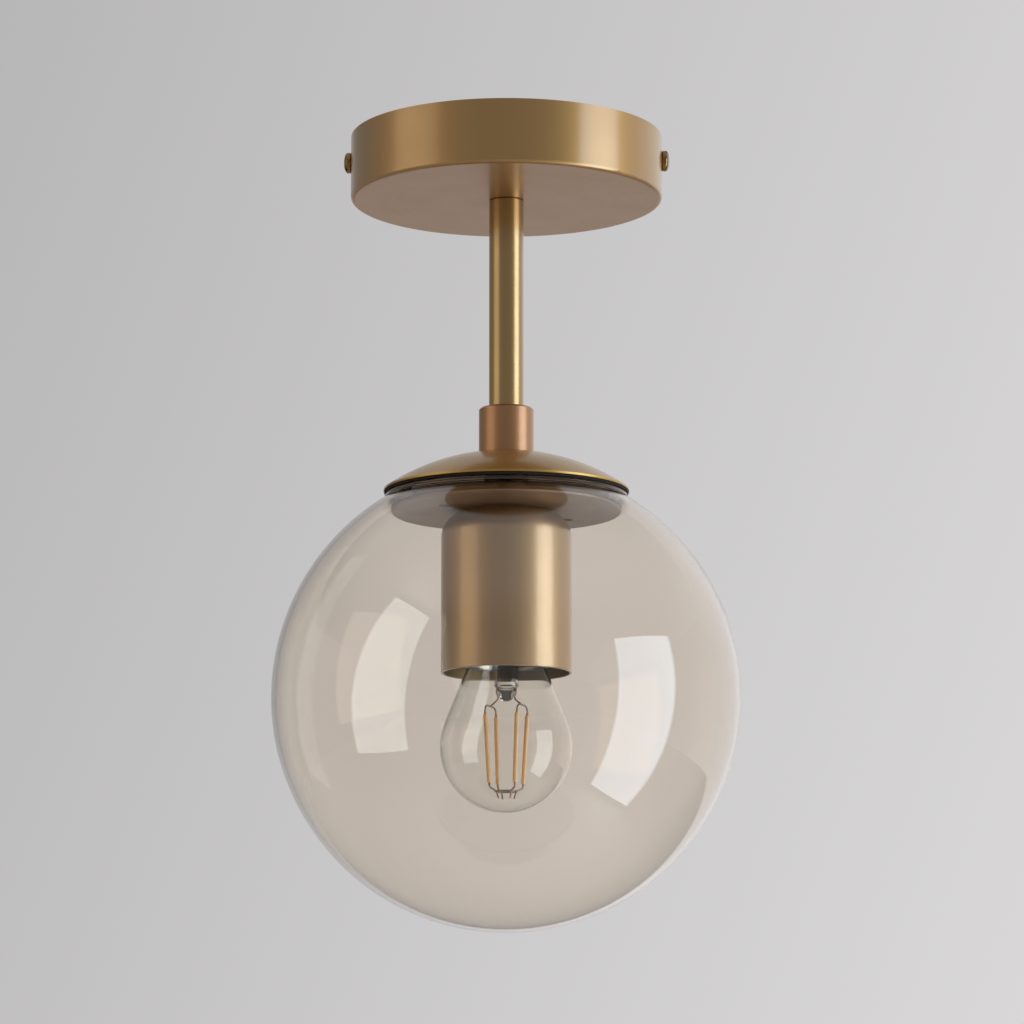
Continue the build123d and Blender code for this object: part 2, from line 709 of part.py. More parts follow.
def stem_wire(name, pole, side):
    """Wire from a pole of the connector over an arch, down the stem and into a lampholder terminal."""
    x, y = pole_places()[pole]
    end_y = y - tube_length / 2 + wire_insertion
    centre = side * wire_offset
    arch_x = (x + 3 * centre) / 4
    terminal_face = terminal_offset - terminal_size[0] / 2
    return wire(name, [(x, end_y, wire_entry), (x, arch_reach, wire_entry),
                       (arch_x, arch_reach, -arch_top), (centre, 0, -arch_top),
                       (centre, 0, terminal_wire_height),
                       (side * (terminal_face + wire_insertion), 0, terminal_wire_height)])


def earth_wire():
    """Wire from the third pole round to the ring terminal under the canopy nut."""
    x, y = pole_places()[2]
    end_y = y - tube_length / 2 + wire_insertion
    low = washer_top + crimp_radius
    out = crimp_start + crimp_length
    heights = (low, (low + wire_entry) / 2, wire_entry)
    loop = [(out + reach, side, height) for (reach, side), height in zip(earth_loop, heights)]
    return wire("earth_wire", [(out - wire_insertion, 0, low), *loop, (x, earth_rise, wire_entry),
                               (x, end_y, wire_entry)])


# ---- bulb -----------------------------------------------------------------------------------------------------
def bulb_cap():
    """Thin screw cap: in-turned crown, plain thread band and a flared skirt over the glass."""
    crown = bulb_tip - cap_crown_drop
    shoulder = bulb_tip - cap_shoulder_drop
    skirt = cap_rim + cap_skirt_height
    flare = skirt + cap_flare_height
    skirt_bore = cap_skirt_radius - cap_sheet
    crown_bore = cap_crown_radius - cap_sheet
    return turned((crown_bore, crown), (cap_crown_radius, crown), (cap_radius, shoulder),
                  (cap_radius, flare), (cap_skirt_radius, skirt), (cap_skirt_radius, cap_rim),
                  (skirt_bore, cap_rim), (skirt_bore, skirt), (cap_bore, flare), (cap_bore, shoulder),
                  (crown_bore, crown - cap_sheet))


def bulb_insulator():
    """Black glass cone between the cap's crown and the end contact."""
    top = bulb_tip - cap_contact_height
    crown = bulb_tip - cap_crown_drop
    edge = cap_crown_radius - cap_sheet - thread_gap
    return turned((0, top), (insulator_top_radius, top), (edge, crown + cap_sheet),
                  (edge, crown - insulator_depth), (0, crown - insulator_depth))


def bulb_contact():
    """Round end contact with a slight crown."""
    top = bulb_tip - cap_contact_height
    return turned((0, top), (cap_contact_radius, top), (cap_contact_radius, bulb_tip, cap_contact_height / 2),
                  (0, bulb_tip))


def bulb_envelope():
    """Clear glass ball that runs tangent into a cone and a short tube inside the cap."""
    def outline(offset):
        """Outline of one face of the glass, from the foot up to the end of the tube."""
        radius, neck = bulb_radius - offset, bulb_neck_radius - offset
        rise = cap_rim - bulb_centre
        reach = sqrt(neck ** 2 + rise ** 2)
        lean = atan2(rise, neck) - atan2(sqrt(reach ** 2 - radius ** 2), radius)
        tangent = bulb_centre + radius * sin(lean)
        return [ball_arc(bulb_centre, radius, bulb_centre - radius, tangent),
                Polyline(ball_point(bulb_centre, radius, tangent), (neck, cap_rim),
                         (bulb_tube_radius - offset, cap_rim + cap_skirt_height),
                         (bulb_tube_radius - offset, flare_top))]
    section = make_face([
        *outline(0), *outline(bulb_glass),
        Line((bulb_tube_radius, flare_top), (bulb_tube_radius - bulb_glass, flare_top)),
        Line((0, bulb_foot), (0, bulb_foot + bulb_glass))])
    return revolve(Plane.XZ * section, Axis.Z)


def bulb_mount_stem():
    """Glass mount: a flare sealed in the neck, a collar and the press that holds the leads."""
    rim = bulb_tube_radius - bulb_glass - thread_gap
    throat = flare_top - flare_height
    return turned((rim - flare_wall, flare_top), (rim, flare_top), (mount_radius, throat),
                  (mount_radius, mount_foot), (press_radius, mount_foot), (press_radius, press_foot, press_round),
                  (0, press_foot), (0, throat - flare_wall), (mount_radius - flare_wall, throat + flare_wall / 2))


def filament_ends(index):
    """Top and foot of one filament."""
    angle = radians(filament_first_angle + index * 360 / filament_count)
    return ((filament_top_circle * cos(angle), filament_top_circle * sin(angle), filament_top),
            (filament_foot_circle * cos(angle), filament_foot_circle * sin(angle), filament_foot))


def filament(index):
    """One straight filament stick."""
    top, foot = filament_ends(index)
    return rod(foot, top, filament_radius)


def bulb_lead_wires():
    """Two leads beside the press, each spread out to the tops of two filaments."""
    leads = []
    beside = press_radius + lead_radius + thread_gap
    for side, pair in ((1, (0, 3)), (-1, (1, 2))):
        start = Vector(side * beside, 0, mount_foot)
        elbow = start - Vector(0, 0, lead_spread_drop)
        tops = [Vector(*filament_ends(index)[0]) + Vector(0, 0, lead_radius) for index in pair]
        fork = Vector((tops[0].X + tops[1].X) / 2, (tops[0].Y + tops[1].Y) / 2, filament_top + lead_fork_rise)
        lead = rod(start, elbow, lead_radius) + rod(elbow, fork, lead_radius)
        lead += Pos(*elbow) * Sphere(lead_radius)
        lead += Pos(*fork) * Sphere(lead_radius)
        for top in tops:
            lead += rod(fork, top, lead_radius)
        leads.append(lead)
    return leads


def filament_ring():
    """Wire ring under the filaments, with an arm to the foot of each and a tail below."""
    ring = Pos(0, 0, ring_height) * Torus(ring_circle, lead_radius)
    for index in range(filament_count):
        foot = Vector(*filament_ends(index)[1]) - Vector(0, 0, lead_radius)
        scale = ring_circle / filament_foot_circle
        joint = Vector(foot.X * scale, foot.Y * scale, ring_height)
        ring += rod(foot, joint, lead_radius)
        ring += rod(joint, joint - Vector(foot.X / 8, foot.Y / 8, ring_tail), lead_radius)
        ring += Pos(*joint) * Sphere(lead_radius)
    return ring


def bulb_driver():
    """Small driver board in the cap, with a round capacitor on its face."""
    top = bulb_tip - cap_crown_drop - insulator_depth - rest_gap
    board = Pos(0, 0, top - driver_size[2] / 2) * Box(*driver_size)
    capacitor = Pos(0, driver_size[1] / 2 + capacitor_radius - capacitor_bite, top - driver_gap) * Cylinder(
        capacitor_radius, capacitor_length, align=(Align.CENTER, Align.CENTER, Align.MAX))
    return board + capacitor


# ---- every piece, one file each -------------------------------------------------------------------------------------
def washer(top):
    """Plain washer for the hollow nipples."""
    return tube(washer_radius, nipple_radius + hole_gap, top, top - washer_thickness)


pieces = {
    "ceiling_bracket": ceiling_bracket(),
    "bracket_earth_screw": bracket_earth_screw(),
    "side_screws": side_screws(),
    "canopy": canopy(),
    "canopy_washer": washer(washer_top),
    "earth_ring_terminal": earth_ring_terminal(),
    "canopy_nut": hex_nut(nut_top),
    "upper_nipple": hollow_nipple(upper_nipple_top, canopy_face - nipple_engagement),
    "nipple_bush": nipple_bush(),
    "stem": stem(),
    "coupler": coupler(),
    "lower_nipple": hollow_nipple(stem_foot + nipple_engagement, lower_nipple_foot),
    "dome_cap": dome_cap(),
    "neck_gasket": neck_gasket(),
    "spacer_tube": tube(spacer_radius, nipple_radius + hole_gap, coupler_foot - dome_wall, pan_floor),
    "glass_globe": glass_globe(),
    "gallery_pan": gallery_pan(),
    "lampholder_cup": lampholder_cup(),
    "cup_washer": washer(cup_ceiling),
    "cup_nut": hex_nut(cup_nut_top),
    "holder_cap": holder_cap(),
    "holder_body": holder_body(),
    "contact_carrier": contact_carrier(),
    "screw_shell": screw_shell(),
    "centre_contact": centre_contact(),
    "holder_terminals": holder_terminals(),
    "holder_terminal_screws": holder_terminal_screws(),
    "contact_rivets": contact_rivets(),
    "terminal_block": terminal_block(),
    "terminal_tubes": terminal_tubes(),
    "terminal_screws": terminal_screws(),
    "live_wire": stem_wire("live_wire", 0, -1),
    "neutral_wire": stem_wire("neutral_wire", 1, 1),
    "earth_wire": earth_wire(),
    "bulb_cap": bulb_cap(),
    "bulb_insulator": bulb_insulator(),
    "bulb_contact": bulb_contact(),
    "bulb_envelope": bulb_envelope(),
    "bulb_mount_stem": bulb_mount_stem(),
    "bulb_lead_wires": bulb_lead_wires(),
    "filament_ring": filament_ring(),
    "bulb_driver": bulb_driver(),
}
for clip_index in range(clip_count):
    pieces[f"spring_clip_{clip_index + 1}"] = spring_clip(clip_index)
for filament_index in range(filament_count):
    pieces[f"filament_{filament_index + 1}"] = filament(filament_index)

for name, shape in pieces.items():
    if isinstance(shape, list):
        shape = Compound(children=[solid for piece in shape for solid in piece.solids()])
    export_step(shape, f"parts/{name}.step")

print(len(pieces), "pieces; globe centre", round(globe_centre, 2), "bulb foot", round(bulb_foot, 2),
      "cup foot", round(cup_foot, 2), "one turn of the bulb", thread_pitch, "mm")
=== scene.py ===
import bpy
from math import atan2, cos, pi, radians, sin, sqrt
from mathutils import Matrix, Vector


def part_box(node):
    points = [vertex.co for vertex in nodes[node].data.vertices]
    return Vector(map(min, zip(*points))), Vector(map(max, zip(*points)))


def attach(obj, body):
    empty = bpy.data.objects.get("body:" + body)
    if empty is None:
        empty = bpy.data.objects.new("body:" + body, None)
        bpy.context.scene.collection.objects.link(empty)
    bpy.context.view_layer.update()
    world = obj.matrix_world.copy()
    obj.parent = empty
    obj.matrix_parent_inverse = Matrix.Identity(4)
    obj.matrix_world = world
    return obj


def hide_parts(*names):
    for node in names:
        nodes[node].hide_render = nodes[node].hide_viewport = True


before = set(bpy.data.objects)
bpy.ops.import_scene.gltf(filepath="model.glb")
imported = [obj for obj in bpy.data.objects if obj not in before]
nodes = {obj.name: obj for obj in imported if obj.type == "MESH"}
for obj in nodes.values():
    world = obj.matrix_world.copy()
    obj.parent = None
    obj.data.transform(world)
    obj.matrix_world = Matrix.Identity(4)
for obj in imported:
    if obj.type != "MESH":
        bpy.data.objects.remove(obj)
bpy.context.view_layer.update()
bpy.context.scene.view_settings.view_transform = "Standard"
print("frame loaded:", len(nodes), "pieces")


# colours and nodes

def linearColour(hexCode):
    # sRGB hex to the linear values that sockets take
    channels = [int(hexCode[i:i + 2], 16) / 255 for i in (1, 3, 5)]
    return tuple(c / 12.92 if c <= 0.04045 else ((c + 0.055) / 1.055) ** 2.4 for c in channels) + (1.0,)


def addNode(owner, kind, settings=None, links=None):
    # one node with its settings, socket values and incoming links
    node = owner.node_tree.nodes.new(kind)
    for name, value in (settings or {}).items():
        if isinstance(name, int) or name in node.inputs:
            node.inputs[name].default_value = value
        else:
            setattr(node, name, value)
    for name, source in (links or {}).items():
        owner.node_tree.links.new(source, node.inputs[name])
    return node


def startMaterial(name, settings):
    # an empty material with its shader, for the functions below to fill
    material = bpy.data.materials.new(name)
    material.use_nodes = True
    material.node_tree.nodes.clear()
    shader = addNode(material, "ShaderNodeBsdfPrincipled", settings)
    addNode(material, "ShaderNodeOutputMaterial", links={"Surface": shader.outputs[0]})
    return material, shader


# camera: the photograph's height, pitch and distance

view = {"distance": 1.342, "height": -0.35544, "pitch": 9.5, "azimuth": 1.5, "sideStep": 0.0019,
        "lens": 140.27, "sensor": 36, "nearest": 0.01}
turn = Matrix.Rotation(radians(view["azimuth"]), 4, "Z")
bpy.ops.object.select_all(action="DESELECT")
bpy.ops.object.camera_add(location=turn @ Vector((view["sideStep"], -view["distance"], view["height"])),
                          rotation=(radians(90 + view["pitch"]), 0, radians(view["azimuth"])))
camera = bpy.context.object
camera.name = "photoCamera"
camera.data.sensor_width = view["sensor"]
camera.data.lens = view["lens"]
camera.data.clip_start = view["nearest"]
bpy.context.scene.camera = camera
print("camera placed")


# studio: two softboxes, a pale surround that is darker on the camera's side, a pale floor

studio = {
    "rightBox": {"azimuth": 73, "distance": 2.0, "height": -0.76, "width": 1.20, "tall": 2.70, "power": 34,
                 "colour": "#E2F0FF"},
    "leftBox": {"azimuth": -68, "distance": 1.25, "height": 0.06, "width": 0.84, "tall": 0.96, "power": 1.8,
                "colour": "#FFEFD4"},
    "aim": (0, 0, -0.16),
    "floorHeight": -2.25, "floorSize": 14, "floorColour": "#D6D4D1", "floorRoughness": 0.9,
}
for name in ("rightBox", "leftBox"):
    box = studio[name]
    side = radians(box["azimuth"])
    place = Vector((sin(side) * box["distance"], -cos(side) * box["distance"], box["height"]))
    bpy.ops.object.light_add(type="AREA", location=place)
    lamp = bpy.context.object
    lamp.name = name
    aim = Vector(studio["aim"]) - place
    aim.z = 0  # the boxes stand upright
    lamp.rotation_euler = aim.to_track_quat("-Z", "Y").to_euler()
    lamp.data.shape = "RECTANGLE"
    lamp.data.size = box["width"]
    lamp.data.size_y = box["tall"]
    lamp.data.energy = box["power"]
    lamp.data.color = linearColour(box["colour"])[:3]

surround = {"middle": 0.64, "perSide": 0.62, "perHeight": -0.24, "darkest": 0.22, "palest": 0.80,
            "cameraSide": 0.26, "cameraSideFades": (-0.2, 0.7), "ceiling": 0.50, "ceilingFades": (0.45, 0.80),
            "colour": "#FFFDFE"}
world = bpy.data.worlds.new("paleStudio")
bpy.context.scene.world = world
world.use_nodes = True
world.node_tree.nodes.clear()
direction = addNode(world, "ShaderNodeTexCoord")
axes = addNode(world, "ShaderNodeSeparateXYZ", links={0: direction.outputs["Generated"]})
sideways = addNode(world, "ShaderNodeMath", {"operation": "MULTIPLY_ADD", 1: surround["perSide"],
                                             2: surround["middle"]}, {0: axes.outputs["X"]})
upwards = addNode(world, "ShaderNodeMath", {"operation": "MULTIPLY_ADD", 1: surround["perHeight"]},
                  {0: axes.outputs["Z"], 2: sideways.outputs[0]})
limited = addNode(world, "ShaderNodeClamp", {"Min": surround["darkest"], "Max": surround["palest"]},
                  {"Value": upwards.outputs[0]})
behind = addNode(world, "ShaderNodeMapRange", {"interpolation_type": "SMOOTHSTEP",
                                               "From Min": surround["cameraSideFades"][0],
                                               "From Max": surround["cameraSideFades"][1]},
                 {"Value": axes.outputs["Y"]})
around = addNode(world, "ShaderNodeMix", {2: surround["cameraSide"]},
                {0: behind.outputs[0], 3: limited.outputs[0]})
above = addNode(world, "ShaderNodeMapRange", {"interpolation_type": "SMOOTHSTEP",
                                              "From Min": surround["ceilingFades"][0],
                                              "From Max": surround["ceilingFades"][1]},
                {"Value": axes.outputs["Z"]})
level = addNode(world, "ShaderNodeMix", {3: surround["ceiling"]}, {0: above.outputs[0], 2: around.outputs[0]})
glow = addNode(world, "ShaderNodeBackground", {"Color": linearColour(surround["colour"])},
               {"Strength": level.outputs[0]})
addNode(world, "ShaderNodeOutputWorld", links={"Surface": glow.outputs[0]})

bpy.ops.object.select_all(action="DESELECT")
bpy.ops.mesh.primitive_plane_add(size=studio["floorSize"], location=(0, 0, studio["floorHeight"]))
floor = bpy.context.object
floor.name = "studioFloor"
bpy.ops.object.transform_apply(location=True, rotation=True, scale=True)
paper = startMaterial("matt paper floor", {"Base Color": linearColour(studio["floorColour"]),
                                           "Roughness": studio["floorRoughness"]})[0]
floor.data.materials.append(paper)
print("studio set")


# metals

noiseRange = (0.35, 0.65)  # nearly all of a noise texture lies between these two
stretches = {"drawn": (1, 1, 0.03), "rolled": (0.04, 1, 1), "plain": (1, 1, 1)}


def metalFinish(name, look):
    # sheet, turned or drawn metal: fine marks that follow how it was made, and soft larger smudges
    material, shader = startMaterial(name, {
        "Metallic": 1.0, "Coat Weight": look.get("coat", 0.0),
        "Coat Roughness": look.get("coatRoughness", 0.03), "Coat IOR": look.get("coatIor", 1.5)})
    places = addNode(material, "ShaderNodeTexCoord")
    if look["marks"] == "rings":  # round the axis, as a lathe or a spinning tool leaves them
        axes = addNode(material, "ShaderNodeSeparateXYZ", links={0: places.outputs["Object"]})
        flat = addNode(material, "ShaderNodeCombineXYZ", links={"X": axes.outputs["X"],
                                                                "Y": axes.outputs["Y"]})
        reach = addNode(material, "ShaderNodeVectorMath", {"operation": "LENGTH"}, {0: flat.outputs[0]})
        along = addNode(material, "ShaderNodeCombineXYZ", links={"X": reach.outputs["Value"],
                                                                 "Z": axes.outputs["Z"]})
        source = along.outputs[0]
    else:
        mapped = addNode(material, "ShaderNodeMapping", {"Scale": stretches[look["marks"]]},
                         {"Vector": places.outputs["Object"]})
        source = mapped.outputs[0]
    marks = addNode(material, "ShaderNodeTexNoise", {"Scale": 1000 / look["markMm"], "Detail": 3.0,
                                                     "Roughness": 0.6}, {"Vector": source})
    smudges = addNode(material, "ShaderNodeTexNoise", {"Scale": 1000 / look["smudgeMm"], "Detail": 2.0},
                      {"Vector": places.outputs["Object"]})
    uneven = addNode(material, "ShaderNodeMath", {"operation": "MULTIPLY", 1: 0.5}, {0: marks.outputs[0]})
    both = addNode(material, "ShaderNodeMath", {"operation": "MULTIPLY_ADD", 1: 0.5},
                   {0: smudges.outputs[0], 2: uneven.outputs[0]})
    polish = addNode(material, "ShaderNodeMapRange", {"From Min": noiseRange[0], "From Max": noiseRange[1],
                                                      "To Min": look["roughness"][0],
                                                      "To Max": look["roughness"][1]},
                     {"Value": both.outputs[0]})
    material.node_tree.links.new(polish.outputs[0], shader.inputs["Roughness"])
    tint = addNode(material, "ShaderNodeMix", {"data_type": "RGBA", 6: linearColour(look["colour"]),
                                               7: linearColour(look["deeper"])}, {0: smudges.outputs[0]})
    # otherSide paints a darker second colour on one side of the piece as painted shade: the canopy's face,
    # the dome's and cup's insides, the pan's top
    if "otherSide" in look:  # keep and shift set the middle, or the level, from which that side is told
        other = look["otherSide"]
        moved = addNode(material, "ShaderNodeVectorMath", {"operation": "MULTIPLY_ADD", 1: other["keep"],
                                                           2: other["shift"]}, {0: places.outputs["Object"]})
        if other["told"] == "facing":  # the surface looks towards that middle
            surface = addNode(material, "ShaderNodeNewGeometry")
            measure = addNode(material, "ShaderNodeVectorMath", {"operation": "DOT_PRODUCT"},
                              {0: moved.outputs[0], 1: surface.outputs["Normal"]})
            masked = addNode(material, "ShaderNodeMath", {"operation": "LESS_THAN", 1: -other["least"]},
                             {0: measure.outputs["Value"]})
        else:  # the surface lies above that level, or below it where keep turns the height over
            measure = addNode(material, "ShaderNodeSeparateXYZ", links={0: moved.outputs[0]})
            masked = addNode(material, "ShaderNodeMath", {"operation": "GREATER_THAN", 1: 0.0},
                             {0: measure.outputs["Z"]})
        tint = addNode(material, "ShaderNodeMix", {"data_type": "RGBA", 7: linearColour(other["colour"])},
                       {0: masked.outputs[0], 6: tint.outputs[2]})
        lacquer = addNode(material, "ShaderNodeMix", {2: look.get("coat", 0.0), 3: other.get("coat", 0.0)},
                          {0: masked.outputs[0]})
        material.node_tree.links.new(lacquer.outputs[0], shader.inputs["Coat Weight"])
    material.node_tree.links.new(tint.outputs[2], shader.inputs["Base Color"])
    relief = addNode(material, "ShaderNodeBump", {"Strength": 1.0, "Distance": look["depthMm"] / 1000},
                     {"Height": marks.outputs[0]})
    material.node_tree.links.new(relief.outputs[0], shader.inputs["Normal"])
    return material


# spun and lacquered brass: warm satin metal under a thin clear lacquer, whose gloss pales the highlights
brassLook = {"colour": "#BE9556", "deeper": "#B68C4E", "marks": "rings", "markMm": 0.7, "smudgeMm": 17,
             "depthMm": 0.0007, "roughness": (0.40, 0.46), "coat": 1.0, "coatRoughness": 0.19,
             "coatIor": 1.65}
# drawn brass tube, lacquered: the same metal with its marks along the tube
tubeLook = {**brassLook, "colour": "#BA995F", "deeper": "#B29057", "marks": "drawn", "markMm": 0.5,
            "roughness": (0.29, 0.35), "coatRoughness": 0.13, "coatIor": 1.65}
# the canopy's spun brass: its flat face, below 21.5 mm, is painted browner and darker than its side as
# painted shade on the downward face, and has less lacquer
canopyLook = {**brassLook, "coatIor": 1.75,
              "otherSide": {"told": "height", "keep": (1, 1, -1), "shift": (0, 0, -0.0215),
                            "colour": "#B68B5A", "coat": 0.35}}
# the dome cap's spun brass, with painted shade inside: darker brown and unlacquered there; the inside faces
# the middle of the dome's sphere
domeLook = {**brassLook, "colour": "#CBA253", "deeper": "#C39A48", "coatIor": 1.38,
            "otherSide": {"told": "facing", "keep": (1, 1, 1), "shift": (0, 0, 0.1843), "least": 0.0005,
                          "colour": "#96714E"}}
# the cup's drawn brass, with painted shade inside: darker olive brown with less lacquer where it faces the
# axis
cupLook = {**brassLook, "colour": "#AC9069", "deeper": "#A48862", "coatIor": 1.8,
           "otherSide": {"told": "facing", "keep": (1, 1, 0), "shift": (0, 0, 0), "least": 0.0005,
                         "colour": "#8F7748", "coat": 0.4}}
# polished brass screws, darker and browner than the brass round them, clouded with a deeper brown
screwLook = {**brassLook, "colour": "#A07C45", "deeper": "#7C5D30", "marks": "plain", "markMm": 0.5,
             "smudgeMm": 1.6, "depthMm": 0.004, "roughness": (0.20, 0.30), "coat": 0.4}
# turned gilding metal: more copper, so rosier than the brass round it
collarLook = {**brassLook, "colour": "#BB8A5E", "deeper": "#B17F53", "markMm": 0.5, "depthMm": 0.001,
              "coatIor": 1.5}
# zinc plated pressed steel: blue-white metal with a faint cloudy spangle
zincLook = {"colour": "#C9CDD0", "deeper": "#AEB4B8", "marks": "rolled", "markMm": 0.6, "smudgeMm": 5,
            "depthMm": 0.003, "roughness": (0.28, 0.42)}
# satin steel sheet: soft grey metal that barely mirrors
satinLook = {"colour": "#B2ABA4", "deeper": "#A29B93", "marks": "rings", "markMm": 0.7, "smudgeMm": 11,
             "depthMm": 0.003, "roughness": (0.30, 0.40)}
# the gallery pan: satin steel below, and painted dark brown above 130.3 mm down, as painted shade in the
# hollow under the dome
panLook = {**satinLook, "colour": "#998879", "deeper": "#8B796B", "roughness": (0.46, 0.56),
           "otherSide": {"told": "height", "keep": (1, 1, 1), "shift": (0, 0, 0.1303), "colour": "#4A3A2B"}}
# steel of the spacer and the long nipple, painted dark brown all over as painted shade for the hollow under
# the dome, with a dull sheen
shadedSteelLook = {"colour": "#8A6A4A", "deeper": "#6E5238", "marks": "drawn", "markMm": 0.5, "smudgeMm": 4,
               "depthMm": 0.002, "roughness": (0.40, 0.55)}
# spring steel strip: darker grey, with marks across the strip
springLook = {"colour": "#8F8D8A", "deeper": "#77756F", "marks": "rolled", "markMm": 0.4, "smudgeMm": 4,
              "depthMm": 0.002, "roughness": (0.22, 0.32)}
# bare machined brass of terminals and small screws
bareLook = {"colour": "#E0C078", "deeper": "#CDA961", "marks": "plain", "markMm": 0.3, "smudgeMm": 3,
            "depthMm": 0.002, "roughness": (0.22, 0.34)}
# nickel plated brass of the lamp cap: warm silver with fine handling marks
nickelLook = {"colour": "#D2CCC2", "deeper": "#BDB6AA", "marks": "rings", "markMm": 0.4, "smudgeMm": 5,
              "depthMm": 0.0015, "roughness": (0.18, 0.28)}
# soft solder: dull grey dome with a wrinkled skin
solderLook = {"colour": "#B4B5B6", "deeper": "#95979A", "marks": "plain", "markMm": 0.9, "smudgeMm": 2.5,
              "depthMm": 0.02, "roughness": (0.30, 0.46)}
# nickel iron lead wire: thin grey wire with a warm cast
leadLook = {"colour": "#A58B76", "deeper": "#8A715E", "marks": "plain", "markMm": 0.4, "smudgeMm": 2,
            "depthMm": 0.001, "roughness": (0.25, 0.38)}


# glass

def clearGlass(name, look):
    # blown glass: clean and smooth, with the slight waviness of blowing
    material, shader = startMaterial(name, {
        "Base Color": linearColour(look["colour"]), "Roughness": 0.0, "IOR": 1.5, "Transmission Weight": 1.0})
    places = addNode(material, "ShaderNodeTexCoord")
    waves = addNode(material, "ShaderNodeTexNoise", {"Scale": 1000 / look["waveMm"], "Detail": 0.0},
                    {"Vector": places.outputs["Object"]})
    relief = addNode(material, "ShaderNodeBump", {"Strength": 1.0, "Distance": look["depthMm"] / 1000},
                     {"Height": waves.outputs[0]})
    material.node_tree.links.new(relief.outputs[0], shader.inputs["Normal"])
    if "neck" in look:  # light runs a long way inside the wall there, so the smoke tint is deep
        axes = addNode(material, "ShaderNodeSeparateXYZ", links={0: places.outputs["Object"]})
        depth = addNode(material, "ShaderNodeMapRange", {"From Min": look["neck"]["foot"],
                                                         "From Max": look["neck"]["full"]},
                        {0: axes.outputs["Z"]})
        tint = addNode(material, "ShaderNodeMix", {"data_type": "RGBA", 6: linearColour(look["colour"]),
                                                   7: linearColour(look["neck"]["colour"])},
                       {0: depth.outputs[0]})
        material.node_tree.links.new(tint.outputs[2], shader.inputs["Base Color"])
    return material


# smoked soda-lime glass: a light champagne tint that shows where the wall is seen on edge
smokedLook = {"colour": "#FDF7EF", "waveMm": 26, "depthMm": 0.02,
              "neck": {"foot": -0.1280, "full": -0.1268, "colour": "#A8917B"}}
# lamp glass: clear and thin
lampGlassLook = {"colour": "#FDFDFC", "waveMm": 12, "depthMm": 0.01}


# plastics, ceramic, rubber and the rest

glowDepth = 0.001  # how far light runs under the skin


def mouldedFinish(name, look):
    # moulded, pressed or fired: a main colour with a second one clouded in, and a fine skin
    material, shader = startMaterial(name, {
        "IOR": look.get("ior", 1.5), "Subsurface Weight": look.get("glowThrough", 0.0),
        "Subsurface Scale": glowDepth})
    places = addNode(material, "ShaderNodeTexCoord")
    clouds = addNode(material, "ShaderNodeTexNoise", {"Scale": 1000 / look["cloudMm"], "Detail": 2.0},
                     {"Vector": places.outputs["Object"]})
    skin = addNode(material, "ShaderNodeTexNoise", {"Scale": 1000 / look["skinMm"], "Detail": 2.0},
                   {"Vector": places.outputs["Object"]})
    tint = addNode(material, "ShaderNodeMix", {"data_type": "RGBA", 6: linearColour(look["colour"]),
                                               7: linearColour(look["second"])}, {0: clouds.outputs[0]})
    material.node_tree.links.new(tint.outputs[2], shader.inputs["Base Color"])
    rough = addNode(material, "ShaderNodeMapRange", {"From Min": noiseRange[0], "From Max": noiseRange[1],
                                                     "To Min": look["roughness"][0],
                                                     "To Max": look["roughness"][1]},
                    {"Value": skin.outputs[0]})
    material.node_tree.links.new(rough.outputs[0], shader.inputs["Roughness"])
    relief = addNode(material, "ShaderNodeBump", {"Strength": 1.0, "Distance": look["depthMm"] / 1000},
                     {"Height": skin.outputs[0]})
    material.node_tree.links.new(relief.outputs[0], shader.inputs["Normal"])
    return material


# nitrile rubber: near black and matt, with a dusty bloom
rubberLook = {"colour": "#241A13", "second": "#2F231A", "cloudMm": 5, "skinMm": 0.5, "depthMm": 0.02,
              "roughness": (0.72, 0.88), "ior": 1.35}
# phenolic moulding: deep black-brown with a worn gloss
phenolicLook = {"colour": "#1A1613", "second": "#241E1A", "cloudMm": 3, "skinMm": 0.6, "depthMm": 0.004,
                "roughness": (0.24, 0.38), "ior": 1.6}
# steatite: fired white ceramic, warm, slightly grainy
steatiteLook = {"colour": "#EDE8DC", "second": "#E2DBCB", "cloudMm": 4, "skinMm": 0.4, "depthMm": 0.01,
                "roughness": (0.42, 0.58), "glowThrough": 0.1}
# polyamide: milky white plastic that lets a little light through
polyamideLook = {"colour": "#E9E7DF", "second": "#DDDACF", "cloudMm": 6, "skinMm": 0.7, "depthMm": 0.006,
                 "roughness": (0.34, 0.46), "glowThrough": 0.25}
# black glass of the lamp cap: glossy and slightly violet
blackGlassLook = {"colour": "#17131A", "second": "#221C26", "cloudMm": 2, "skinMm": 1.5, "depthMm": 0.01,
                  "roughness": (0.08, 0.16), "ior": 1.55}
# phosphor silicone on the filaments: orange-yellow unlit, slightly uneven, softly glowing through
phosphorLook = {"colour": "#FFB663", "second": "#FFCB8A", "cloudMm": 0.9, "skinMm": 0.35, "depthMm": 0.03,
                "roughness": (0.42, 0.58), "glowThrough": 0.3}
# glass fibre board: pale green laminate
boardLook = {"colour": "#3E7A52", "second": "#356B47", "cloudMm": 2, "skinMm": 0.5, "depthMm": 0.01,
             "roughness": (0.35, 0.5)}
# flexible PVC on the inner wires: soft sheen, colours of mains wire
brownLook = {"colour": "#5B3420", "second": "#4E2C1B", "cloudMm": 4, "skinMm": 0.6, "depthMm": 0.004,
             "roughness": (0.36, 0.48)}
blueLook = {**brownLook, "colour": "#2C6FAE", "second": "#27649E"}


waveRadians = 20  # the wave texture's own, over one unit: its bands lie 2 pi times stripeMm apart


